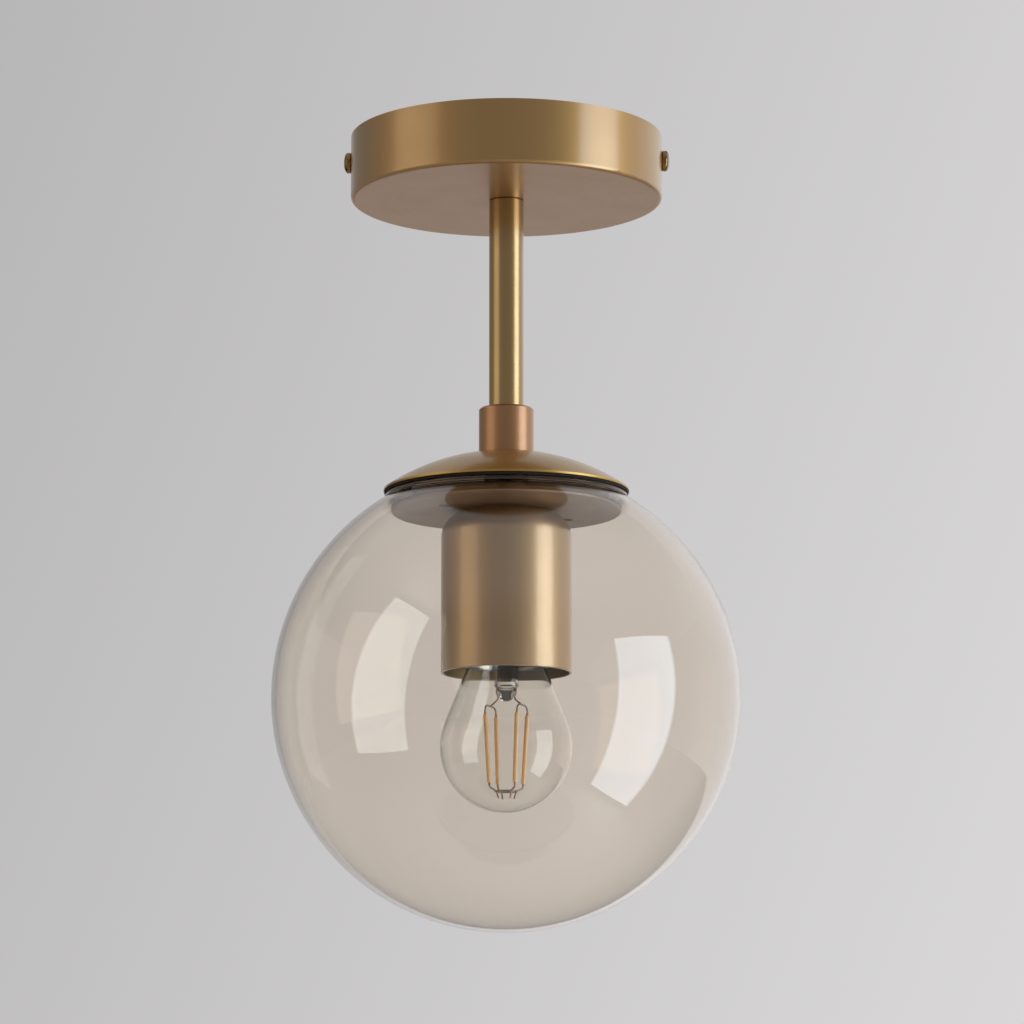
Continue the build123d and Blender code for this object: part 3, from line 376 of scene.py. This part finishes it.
def stripedPlastic(name, look):
    # earth wire PVC: green, with yellow bands
    material = mouldedFinish(name, look)
    shader = next(n for n in material.node_tree.nodes if n.type == "BSDF_PRINCIPLED")
    places = addNode(material, "ShaderNodeTexCoord")
    stripes = addNode(material, "ShaderNodeTexWave", {"Scale": 1000 / look["stripeMm"] / waveRadians,
                                                      "bands_direction": "Z"},
                      {"Vector": places.outputs["Object"]})
    picked = addNode(material, "ShaderNodeMath", {"operation": "GREATER_THAN", 1: 0.5},
                     {0: stripes.outputs[1]})
    tint = addNode(material, "ShaderNodeMix", {"data_type": "RGBA", 6: linearColour(look["colour"]),
                                               7: linearColour(look["stripe"])}, {0: picked.outputs[0]})
    material.node_tree.links.new(tint.outputs[2], shader.inputs["Base Color"])
    return material


earthLook = {**brownLook, "colour": "#3F9A4A", "second": "#37893F", "stripe": "#E6CF2E", "stripeMm": 2.2}

finishes = {
    "satin_brass": metalFinish("spun lacquered brass", brassLook),
    "rose_brass": metalFinish("turned gilding metal", collarLook),
    "zinc_steel": metalFinish("zinc plated steel", zincLook),
    "satin_steel": metalFinish("satin steel sheet", satinLook),
    "spring_steel": metalFinish("spring steel strip", springLook),
    "plain_brass": metalFinish("bare machined brass", bareLook),
    "nickel_cap": metalFinish("nickel plated brass", nickelLook),
    "solder": metalFinish("soft solder", solderLook),
    "lead_wire": metalFinish("nickel iron wire", leadLook),
    "smoked_glass": clearGlass("smoked soda-lime glass", smokedLook),
    "clear_glass": clearGlass("clear lamp glass", lampGlassLook),
    "black_rubber": mouldedFinish("nitrile rubber", rubberLook),
    "black_phenolic": mouldedFinish("phenolic moulding", phenolicLook),
    "white_steatite": mouldedFinish("fired steatite", steatiteLook),
    "white_polyamide": mouldedFinish("natural polyamide", polyamideLook),
    "black_glass": mouldedFinish("black lamp cap glass", blackGlassLook),
    "phosphor": mouldedFinish("phosphor silicone", phosphorLook),
    "circuit_board": mouldedFinish("glass fibre board", boardLook),
    "brown_insulation": mouldedFinish("brown wire PVC", brownLook),
    "blue_insulation": mouldedFinish("blue wire PVC", blueLook),
    "green_insulation": stripedPlastic("green and yellow wire PVC", earthLook),
}
ownFinishes = {"stem": metalFinish("drawn lacquered brass tube", tubeLook),
               "canopy": metalFinish("spun brass, brushed face", canopyLook),
               "dome_cap": metalFinish("spun brass, dark inside", domeLook),
               "lampholder_cup": metalFinish("drawn brass, raw inside", cupLook),
               "gallery_pan": metalFinish("satin steel, burnt above", panLook),
               "spacer_tube": metalFinish("browned steel tube", shadedSteelLook)}
ownFinishes["lower_nipple"] = ownFinishes["spacer_tube"]
slotOf = {}
for name, node in nodes.items():
    slotOf[name] = node.data.materials[0].name.split(".")[0]
    node.data.materials[0] = ownFinishes.get(name, finishes[slotOf[name]])
print("finishes given:", len(finishes) + len(ownFinishes))


# shaping helpers

def evenSteps(start, end, count):
    return [start + (end - start) * i / count for i in range(count + 1)]


def startEdit(name):
    piece = bpy.context.object
    piece.name = name
    bpy.ops.object.transform_apply(location=True, rotation=True, scale=True)
    bpy.ops.object.mode_set(mode="EDIT")
    return piece


def finishPiece(piece, slotName, body, replaced, smoothAngle=40):
    # shading, finish, body and the pieces that it stands for
    if piece.mode == "EDIT":
        bpy.ops.object.mode_set(mode="OBJECT")
    bpy.ops.object.select_all(action="DESELECT")
    piece.select_set(True)
    bpy.context.view_layer.objects.active = piece
    bpy.ops.object.shade_smooth_by_angle(angle=radians(smoothAngle))
    if not piece.data.materials:
        piece.data.materials.append(finishes[slotName])
    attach(piece, body)
    if replaced:
        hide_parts(*replaced)
    print("made", piece.name, len(piece.data.polygons), "faces")
    return piece


def selectRing(piece, height, tolerance=1e-5):
    # edges that lie level at one height
    bpy.ops.mesh.select_all(action="DESELECT")
    bpy.ops.object.mode_set(mode="OBJECT")
    points = piece.data.vertices
    for edge in piece.data.edges:
        edge.select = all(abs(points[v].co.z - height) < tolerance for v in edge.vertices)
    bpy.ops.object.mode_set(mode="EDIT")
    bpy.ops.mesh.select_mode(type="EDGE")


def turnedPiece(name, outline, steps):
    # a point drawn along the outline and spun once round the axis; the outline is (radius, height)
    bpy.ops.object.select_all(action="DESELECT")
    bpy.ops.mesh.primitive_plane_add(size=0.001)
    piece = startEdit(name)
    bpy.ops.mesh.select_mode(type="VERT")
    bpy.ops.mesh.select_all(action="SELECT")
    bpy.ops.mesh.merge(type="CENTER")
    bpy.ops.transform.translate(value=(outline[0][0], 0, outline[0][1]))
    for before, after in zip(outline, outline[1:]):
        bpy.ops.mesh.extrude_vertices_move(
            TRANSFORM_OT_translate={"value": (after[0] - before[0], 0, after[1] - before[1])})
    bpy.ops.mesh.select_all(action="SELECT")
    bpy.ops.mesh.spin(steps=steps, angle=2 * pi, center=(0, 0, 0), axis=(0, 0, 1))
    bpy.ops.mesh.select_all(action="SELECT")
    bpy.ops.mesh.remove_doubles(threshold=1e-6)
    bpy.ops.mesh.normals_make_consistent(inside=False)
    bpy.ops.object.mode_set(mode="OBJECT")
    return piece


# glass globe: a blown ball, cut at the neck, drawn up to the lip and given its wall

globe = {"radius": 0.0795, "wall": 0.0015, "neckRadius": 0.0414, "rootRound": 0.0008, "lipRound": 0.0005,
         "segments": 224, "rings": 150}
globeLow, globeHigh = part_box("glass_globe")
globeCentre = globeLow.z + globe["radius"]
neckFoot = globeCentre + sqrt(globe["radius"] ** 2 - globe["neckRadius"] ** 2)
bpy.ops.object.select_all(action="DESELECT")
bpy.ops.mesh.primitive_uv_sphere_add(segments=globe["segments"], ring_count=globe["rings"],
                                     radius=globe["radius"], location=(0, 0, globeCentre))
globePiece = startEdit("globeGlass")
bpy.ops.mesh.select_all(action="SELECT")
bpy.ops.mesh.bisect(plane_co=(0, 0, neckFoot), plane_no=(0, 0, 1), clear_outer=True, use_fill=False)
selectRing(globePiece, neckFoot)
bpy.ops.mesh.extrude_region_move(TRANSFORM_OT_translate={"value": (0, 0, globeHigh.z - neckFoot)})
selectRing(globePiece, neckFoot)
bpy.ops.mesh.bevel(offset=globe["rootRound"], segments=3, profile=0.5)
bpy.ops.object.mode_set(mode="OBJECT")
wall = globePiece.modifiers.new("wall", "SOLIDIFY")
wall.thickness = globe["wall"]
wall.offset = -1
wall.use_even_offset = True
bpy.ops.object.modifier_apply(modifier="wall")
bpy.ops.object.mode_set(mode="EDIT")
selectRing(globePiece, globeHigh.z)
bpy.ops.mesh.bevel(offset=globe["lipRound"], segments=4, profile=0.5)
finishPiece(globePiece, "smoked_glass", "globe", ["glass_globe"], 60)
globePiece.visible_shadow = False  # thin clear glass hardly dims the lamps


# bulb glass: a small ball that runs into a cone and a short tube inside the cap

bulb = {"radius": 0.0225, "wall": 0.0007, "neckRadius": 0.0133, "tubeRadius": 0.0122, "neckDrop": 0.0014,
        "segments": 128, "arcSteps": 72}
bulbLow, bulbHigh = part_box("bulb_envelope")
capLow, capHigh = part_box("bulb_cap")
bulbCentre = bulbLow.z + bulb["radius"]
neckRise = capLow.z - bulbCentre
neckReach = sqrt(bulb["neckRadius"] ** 2 + neckRise ** 2)
lean = atan2(neckRise, bulb["neckRadius"]) - atan2(sqrt(neckReach ** 2 - bulb["radius"] ** 2), bulb["radius"])
bulbOutline = [(bulb["radius"] * cos(angle), bulbCentre + bulb["radius"] * sin(angle))
               for angle in evenSteps(-pi / 2, lean, bulb["arcSteps"])]
bulbOutline += [(bulb["neckRadius"], capLow.z), (bulb["tubeRadius"], capLow.z + bulb["neckDrop"]),
                (bulb["tubeRadius"], bulbHigh.z)]
bulbPiece = turnedPiece("bulbGlass", bulbOutline, bulb["segments"])
wall = bulbPiece.modifiers.new("wall", "SOLIDIFY")
wall.thickness = bulb["wall"]
wall.offset = -1
bpy.ops.object.modifier_apply(modifier="wall")
finishPiece(bulbPiece, "clear_glass", "bulb", ["bulb_envelope"], 60)
bulbPiece.visible_shadow = False


# threads: one rolled round thread for the cap and the shell round it, so that they run in step

lampThread = {"pitch": 0.003629, "depth": 0.00095, "fade": 0.0022}


def rollThread(piece, top, foot, thread, least=0.0):
    # the wall dips between the crests, and the thread runs out at both ends
    for point in piece.data.vertices:
        radius = Vector((point.co.x, point.co.y)).length
        if foot < point.co.z < top and radius > least:
            height = point.co.z / thread["pitch"] - atan2(point.co.y, point.co.x) / (2 * pi)
            ends = min(1.0, (top - point.co.z) / thread["fade"], (point.co.z - foot) / thread["fade"])
            dip = thread["depth"] * ends * (0.5 - 0.5 * cos(2 * pi * height))
            point.co.x *= (radius - dip) / radius
            point.co.y *= (radius - dip) / radius


cap = {"radius": 0.0131, "crownRadius": 0.0108, "crownHole": 0.0101, "skirtRadius": 0.0139,
       "shoulderDrop": 0.0026, "skirtHeight": 0.0014, "flareHeight": 0.0028, "sheet": 0.00033, "steps": 96,
       "levels": 60}
capShoulder = capHigh.z - cap["shoulderDrop"]
capFlare = capLow.z + cap["flareHeight"]
capOutline = [(cap["crownHole"], capHigh.z), (cap["crownRadius"], capHigh.z)]
capOutline += [(cap["radius"], z) for z in evenSteps(capShoulder, capFlare, cap["levels"])]
capOutline += [(cap["skirtRadius"], capLow.z + cap["skirtHeight"]), (cap["skirtRadius"], capLow.z)]
capPiece = turnedPiece("threadedCap", capOutline, cap["steps"])
rollThread(capPiece, capShoulder, capFlare, lampThread)
wall = capPiece.modifiers.new("wall", "SOLIDIFY")
wall.thickness = cap["sheet"]
wall.offset = -1
bpy.ops.object.modifier_apply(modifier="wall")
finishPiece(capPiece, "nickel_cap", "bulb", ["bulb_cap"])


# screw shell of the holder: the same thread a little wider, an in-turned top and the tab to its rivet

shell = {"bore": 0.0134, "opening": 0.0105, "sheet": 0.0005, "drop": 0.0053, "steps": 96, "levels": 64,
         "threadTop": 0.001, "threadFoot": 0.0006, "tabWidth": 0.005, "tabReach": 0.0081, "tabEdge": 0.0001}
shellLow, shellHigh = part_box("screw_shell")
shellTop, shellFoot = shellHigh.z - shell["drop"] - shell["sheet"], shellLow.z
shellOutline = [(shell["opening"], shellTop)]
shellOutline += [(shell["bore"], z) for z in evenSteps(shellTop, shellFoot, shell["levels"])]
shellPiece = turnedPiece("threadedShell", shellOutline, shell["steps"])
rollThread(shellPiece, shellTop - shell["threadTop"], shellFoot + shell["threadFoot"], lampThread)
wall = shellPiece.modifiers.new("wall", "SOLIDIFY")
wall.thickness = shell["sheet"]
wall.offset = 1
bpy.ops.object.modifier_apply(modifier="wall")
for size, place in (((shell["sheet"], shell["tabWidth"], shellHigh.z - shellTop),
                     (-shell["bore"] - shell["sheet"] / 2, 0, (shellHigh.z + shellTop) / 2)),
                    ((shell["bore"] - shell["tabReach"], shell["tabWidth"], shell["sheet"]),
                     (-(shell["bore"] + shell["tabReach"]) / 2, 0, shellHigh.z - shell["sheet"] / 2))):
    bpy.ops.object.select_all(action="DESELECT")
    bpy.ops.mesh.primitive_cube_add(size=1, location=place, scale=size)
    bpy.ops.object.transform_apply(location=True, rotation=True, scale=True)
    tab = bpy.context.object
    edge = tab.modifiers.new("edge", "BEVEL")
    edge.width = shell["tabEdge"]
    bpy.ops.object.modifier_apply(modifier="edge")
    shellPiece.select_set(True)
    bpy.context.view_layer.objects.active = shellPiece
    bpy.ops.object.join()
finishPiece(shellPiece, slotOf["screw_shell"], "fixture", ["screw_shell"])


# hollow nipples: thread of 1 mm pitch on the outside, plain bore

nipple = {"radius": 0.005, "bore": 0.0035, "chamfer": 0.0005, "step": 0.00016, "threadFrom": 0.004,
          "segments": 64}
nippleThread = {"pitch": 0.001, "depth": 0.00042, "fade": 0.0009}
for name in ("upper_nipple", "lower_nipple"):
    low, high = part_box(name)
    count = round((high.z - low.z) / nipple["step"])
    threadTop, threadFoot = high.z - nipple["chamfer"], low.z + nipple["chamfer"]
    endRadius = nipple["radius"] - nipple["chamfer"]
    outline = [(nipple["bore"], high.z), (endRadius, high.z)]
    outline += [(nipple["radius"], z) for z in evenSteps(threadTop, threadFoot, count)]
    outline += [(endRadius, low.z), (nipple["bore"], low.z), (nipple["bore"], high.z)]
    piece = turnedPiece(name.replace("_", "") + "Threaded", outline, nipple["segments"])
    rollThread(piece, threadTop, threadFoot, nippleThread, nipple["threadFrom"])
    piece.data.materials.append(nodes[name].data.materials[0])
    finishPiece(piece, slotOf[name], "fixture", [name], 25)


# side screws: domed heads with a slot, modelled once upright, then laid into both ears

screw = {"headRadius": 0.0036, "headHeight": 0.0025, "domed": 0.60, "fullness": 0.8, "domeSteps": 12,
         "headEdge": 0.0003, "shankRadius": 0.002, "length": 0.007, "neck": 0.0002, "point": 0.0005,
         "levels": 54, "threadTop": 0.0004, "threadFoot": 0.0006, "seat": 0.0538, "drop": 0.0081,
         "slotTurn": 35, "slotWidth": 0.001, "slotDepth": 0.0013, "segments": 48}
screwThread = {"pitch": 0.0007, "depth": 0.00035, "fade": 0.0006}
almostQuarter = pi / 2 - 0.001
screwOutline = [(screw["headRadius"] * sin(turned),
                 screw["headHeight"] * (1 - screw["domed"] * (1 - cos(turned) ** screw["fullness"])))
                for turned in evenSteps(0, almostQuarter, screw["domeSteps"])]
screwOutline += [(screw["headRadius"], screw["headEdge"]), (screw["headRadius"] - screw["headEdge"], 0.0),
                 (screw["shankRadius"], 0.0)]
screwOutline += [(screw["shankRadius"], z)
                 for z in evenSteps(-screw["neck"], screw["point"] - screw["length"], screw["levels"])]
screwOutline += [(screw["shankRadius"] - screw["point"], -screw["length"]), (0, -screw["length"])]
screwPiece = turnedPiece("sideScrews", screwOutline, screw["segments"])
rollThread(screwPiece, -screw["threadTop"], screw["threadFoot"] - screw["length"], screwThread)
bpy.ops.object.select_all(action="DESELECT")
bpy.ops.mesh.primitive_cube_add(size=1, location=(0, 0, screw["headHeight"]),
                                scale=(4 * screw["headRadius"], screw["slotWidth"], 2 * screw["slotDepth"]))
cutter = bpy.context.object
slotCut = screwPiece.modifiers.new("slot", "BOOLEAN")
slotCut.operation = "DIFFERENCE"
slotCut.solver = "EXACT"
slotCut.object = cutter
bpy.context.view_layer.objects.active = screwPiece
bpy.ops.object.modifier_apply(modifier="slot")
bpy.data.objects.remove(cutter)
screwPiece.data.transform(Matrix.Translation((screw["seat"], 0, -screw["drop"]))
                          @ Matrix.Rotation(pi / 2, 4, "Y")
                          @ Matrix.Rotation(radians(screw["slotTurn"]), 4, "Z"))
otherScrew = screwPiece.copy()
otherScrew.data = screwPiece.data.copy()
otherScrew.data.transform(Matrix.Rotation(pi, 4, "Z"))
bpy.context.scene.collection.objects.link(otherScrew)
bpy.ops.object.select_all(action="DESELECT")
otherScrew.select_set(True)
screwPiece.select_set(True)
bpy.context.view_layer.objects.active = screwPiece
bpy.ops.object.join()
screwPiece.data.materials.append(metalFinish("handled brass screws", screwLook))
finishPiece(screwPiece, "satin_brass", "fixture", ["side_screws"], 30)


# glass mount of the bulb: a tube that flares at the cap and is pinched flat into a press over the leads

mount = {"radius": 0.00405, "wall": 0.0007, "flareRadius": 0.0104, "flareHeight": 0.005, "flareFrom": 0.1,
         "flareSteps": 9, "pressLonger": 0.0017, "collarRise": 0.0036, "tubeRise": 0.0016, "tubeSteps": 8,
         "flat": 0.5, "flatOver": 0.0022, "flatFrom": 0.0008, "segments": 72,
         # radius and rise: the press above its foot, the outside and the hollow at the collar
         "pressEnd": ((0, 0), (0.0011, 0.0001), (0.0018, 0.0005), (0.0022, 0.0012)),
         "outside": ((0.0030, -0.0017), (0.0035, -0.0009), (0.0039, -0.0003), (0.0042, 0), (0.0041, 0.0003),
                     (0.0039, 0.0006), (0.00405, 0.0011)),
         "hollow": ((0.0031, 0), (0.0026, -0.0006), (0.0016, -0.0012), (0, -0.0014))}
mountLow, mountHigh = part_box("bulb_mount_stem")
pressFoot = mountLow.z - mount["pressLonger"]
collar = mountLow.z + mount["collarRise"]
flareFoot = mountHigh.z - mount["flareHeight"]
mountTube = [(radius, collar + rise) for radius, rise in mount["outside"][-2:]]
mountTube += [(mount["radius"], z)
              for z in evenSteps(collar + mount["tubeRise"], flareFoot, mount["tubeSteps"])]
mountTube += [(mount["radius"] + (mount["flareRadius"] - mount["radius"]) * (1 - cos(share * pi / 2)),
               mountHigh.z - mount["flareHeight"] * (1 - sin(share * pi / 2)))
              for share in evenSteps(mount["flareFrom"], 1, mount["flareSteps"])]
mountOutline = [(radius, pressFoot + rise) for radius, rise in mount["pressEnd"]]
mountOutline += [(radius, collar + rise) for radius, rise in mount["outside"][:-2]] + mountTube
mountOutline += [(radius - mount["wall"], z) for radius, z in reversed(mountTube)]
mountOutline += [(radius, collar + rise) for radius, rise in mount["hollow"]]
mountPiece = turnedPiece("mountGlass", mountOutline, mount["segments"])
for point in mountPiece.data.vertices:  # pinched front to back, as the press leaves it
    share = min(1.0, max(0.0, (collar + mount["flatFrom"] - point.co.z) / mount["flatOver"]))
    point.co.y *= 1 - share * (1 - mount["flat"])
finishPiece(mountPiece, "clear_glass", "bulb", ["bulb_mount_stem"], 60)
mountPiece.visible_shadow = False


# leads: each leaves the side of the press, spreads out and forks to the tops of two filaments

def wirePiece(name, routes, radius):
    # smooth wires along given points, with closed ends
    bpy.ops.object.select_all(action="DESELECT")
    bpy.ops.curve.primitive_nurbs_path_add()
    piece = bpy.context.object
    piece.name = name
    piece.data.splines.clear()
    for route in routes:
        line = piece.data.splines.new("NURBS")
        line.points.add(len(route) - 1)
        for point, place in zip(line.points, route):
            point.co = (*place, 1)
        line.order_u = min(3, len(route))
        line.use_endpoint_u = True
        line.resolution_u = 6
    piece.data.bevel_depth = radius
    piece.data.bevel_resolution = 3
    piece.data.use_fill_caps = True
    bpy.ops.object.convert(target="MESH")
    bpy.ops.object.mode_set(mode="EDIT")
    bpy.ops.mesh.select_mode(type="VERT")
    bpy.ops.mesh.select_all(action="SELECT")
    bpy.ops.mesh.remove_doubles(threshold=1e-6)
    bpy.ops.mesh.normals_make_consistent(inside=False)
    bpy.ops.object.mode_set(mode="OBJECT")
    return bpy.context.object


lead = {"radius": 0.0003, "rise": 0.0021, "fork": 0.0056, "forkSide": 0.0017, "forkRise": 0.0018,
        "forkShare": 0.4, "bend": 0.0007, "firstAngle": 28, "circle": 0.008,
        # outwards, across and up from the collar: the wire beside the press
        "besidePress": ((0.0022, 0, -0.0004), (0.0034, 0, -0.0011), (0.0033, 0, -0.0026),
                        (0.0026, 0, -0.0038), (0.0034, -0.0005, -0.0052))}
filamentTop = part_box("filament_1")[1].z
leadRoutes = []
for side, pair in ((1, (0, 3)), (-1, (1, 2))):
    fork = (side * lead["fork"], -side * lead["forkSide"], filamentTop + lead["forkRise"])
    leadRoutes.append([(side * out, side * across, collar + up) for out, across, up in lead["besidePress"]]
                      + [fork])
    for index in pair:
        angle = radians(lead["firstAngle"] + 90 * index)
        top = (lead["circle"] * cos(angle), lead["circle"] * sin(angle))
        between = [f * lead["forkShare"] + t * (1 - lead["forkShare"]) for f, t in zip(fork, top)]
        leadRoutes.append([fork, (*between, filamentTop + lead["rise"]), (*top, filamentTop + lead["bend"]),
                           (*top, filamentTop)])
leadPiece = wirePiece("leadWires", leadRoutes, lead["radius"])
finishPiece(leadPiece, "lead_wire", "bulb", ["bulb_lead_wires"], 60)


# filaments: a stick with rounded ends and a bare metal strip at each, modelled once and copied

filament = {"count": 4, "firstAngle": 28, "radius": 0.00075, "topCircle": 0.008, "footCircle": 0.0063,
            "ends": 0.0011, "rim": 0.0001, "rounding": 0.00025, "shorter": 0.00004, "sides": 20}
filamentLow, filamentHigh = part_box("filament_1")
bpy.ops.object.select_all(action="DESELECT")
stickTop, stickFoot = Vector((filament["topCircle"], 0, 0)), Vector((filament["footCircle"], 0, 0))
stickTop.z, stickFoot.z = filamentHigh.z, filamentLow.z
stickLength = (stickTop - stickFoot).length - filament["shorter"]
bpy.ops.mesh.primitive_cylinder_add(vertices=filament["sides"], radius=filament["radius"],
                                    depth=stickLength - 2 * filament["ends"])
stick = startEdit("filamentStick1")
bpy.ops.mesh.select_all(action="DESELECT")
bpy.ops.object.mode_set(mode="OBJECT")
for face in stick.data.polygons:
    face.select = abs(face.normal.z) > 0.9
bpy.ops.object.mode_set(mode="EDIT")
bpy.ops.mesh.select_mode(type="FACE")
bpy.ops.mesh.bevel(offset=filament["rounding"], segments=3)
bpy.ops.object.mode_set(mode="OBJECT")
for face in stick.data.polygons:
    face.select = abs(face.normal.z) > 0.9 and abs(face.center.z) > stickLength / 2 - filament["ends"] - 1e-6
bpy.ops.object.mode_set(mode="EDIT")
bpy.ops.mesh.inset(thickness=filament["rim"])
bpy.ops.object.mode_set(mode="OBJECT")
stick.data.materials.append(finishes["phosphor"])
stick.data.materials.append(finishes["lead_wire"])
for face in stick.data.polygons:
    if face.select:
        face.material_index = 1
bpy.ops.object.mode_set(mode="EDIT")
bpy.ops.mesh.extrude_faces_move(TRANSFORM_OT_shrink_fatten={"value": filament["ends"]})
bpy.ops.object.mode_set(mode="OBJECT")
leaning = (stickTop - stickFoot).to_track_quat("Z", "X").to_matrix().to_4x4()
stick.data.transform(Matrix.Translation((stickTop + stickFoot) / 2) @ leaning)
sourceMesh = stick.data.copy()
for index in range(filament["count"]):
    piece = stick
    if index:
        piece = stick.copy()
        piece.data = sourceMesh.copy()
        piece.name = f"filamentStick{index + 1}"
        bpy.context.scene.collection.objects.link(piece)
    angle = radians(filament["firstAngle"] + 360 / filament["count"] * index)
    piece.data.transform(Matrix.Rotation(angle, 4, "Z"))
    finishPiece(piece, "phosphor", "bulb", [f"filament_{index + 1}"])
